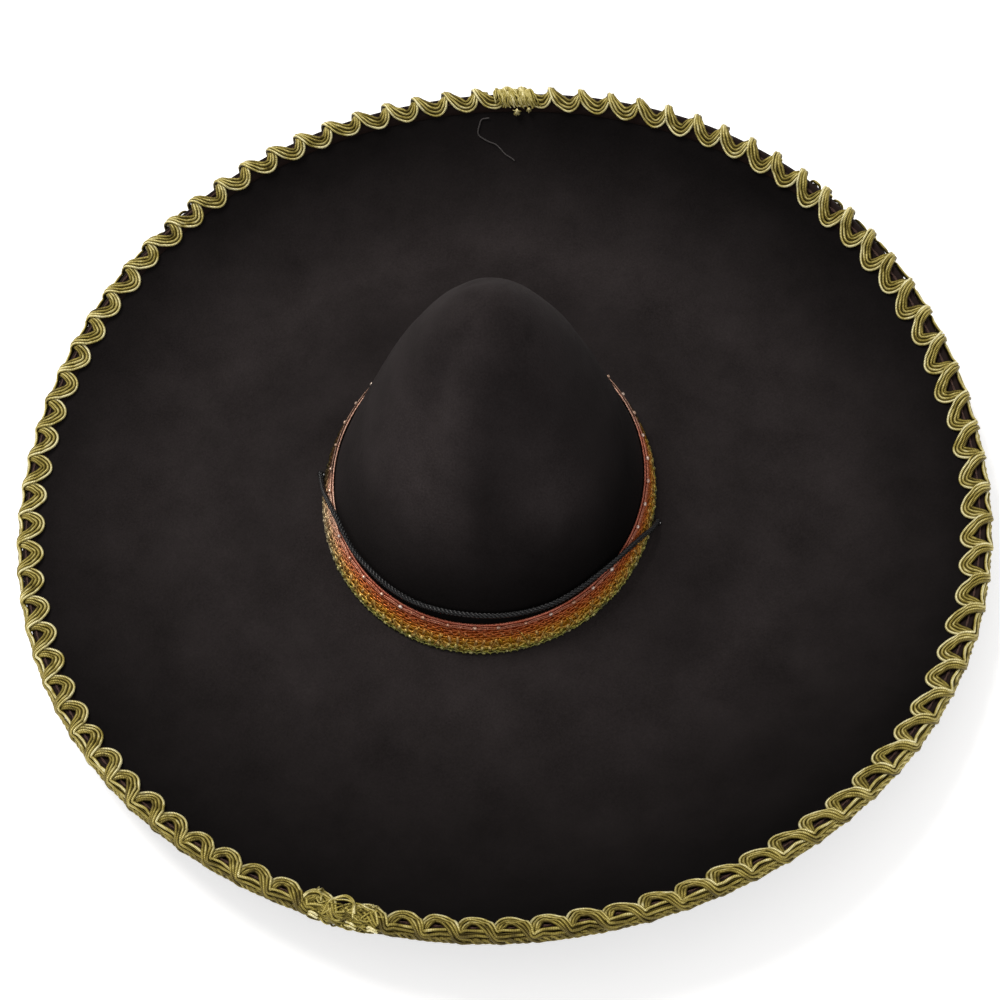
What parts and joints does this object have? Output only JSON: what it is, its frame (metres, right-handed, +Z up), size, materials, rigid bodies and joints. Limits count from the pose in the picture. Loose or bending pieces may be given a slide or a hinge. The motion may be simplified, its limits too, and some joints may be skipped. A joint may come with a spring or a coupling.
{
  "type": "sombrero",
  "caption": "Wide-brimmed black felt sombrero with a tapered pinched crown, woven metallic hat band, looped gimp braid on the wired brim edge and a black chin cord.",
  "frame": {"origin": "centre of the head opening, on the flat surface that the hat stands on", "axes": "+Z up through the crown, -Y to the front of the hat, +X to the viewer's right when facing the hat's front"},
  "size_m": [0.5708, 0.5589, 0.1826],
  "materials": {
    "crown_felt": "matt black wool felt with a soft brushed nap",
    "brim_felt": "matt charcoal black wool felt, darker towards the curled edge",
    "wire": "bare spring steel hat wire",
    "binding": "black woven cotton tape",
    "gimp_braid": "gold metallised gimp braid of thin twisted cords, glossy",
    "core_cord": "beige gold twisted cotton cord",
    "band_weave": "iridescent metallised woven braid, copper pink at the top edge to yellow green at the bottom",
    "black_thread": "waxed black sewing thread",
    "sweatband": "black imitation leather with fine grain, satin",
    "satin_cord": "black twisted satin cord",
    "loose_thread": "grey beige sewing thread"
  },
  "bodies": {
    "hat": {"crown_felt": "crown_felt", "brim_felt": "brim_felt", "brim_wire": "wire", "edge_binding": "binding", "edge_braid_left": "gimp_braid", "edge_braid_right": "gimp_braid", "edge_core_cord": "core_cord", "braid_join_back": "gimp_braid", "braid_join_front": "gimp_braid", "hatband": "band_weave", "hatband_join": "band_weave", "crown_stitching": "black_thread", "sweatband": "sweatband", "sweatband_seam_tape": "binding", "sweatband_stitching": "black_thread", "cord_knot_left": "satin_cord", "cord_knot_right": "satin_cord", "loose_thread": "loose_thread"},
    "chin_cord": {"chin_cord": "satin_cord"}
  },
  "joints": [
    {"name": "chin_cord_lift", "type": "hinge", "parent": "hat", "child": "chin_cord", "pos_m": [-0.10135, 0.00754, 0.0125], "axis": [-0.9938, 0.1111, 0], "range_deg": [0, 20]}
  ]
}
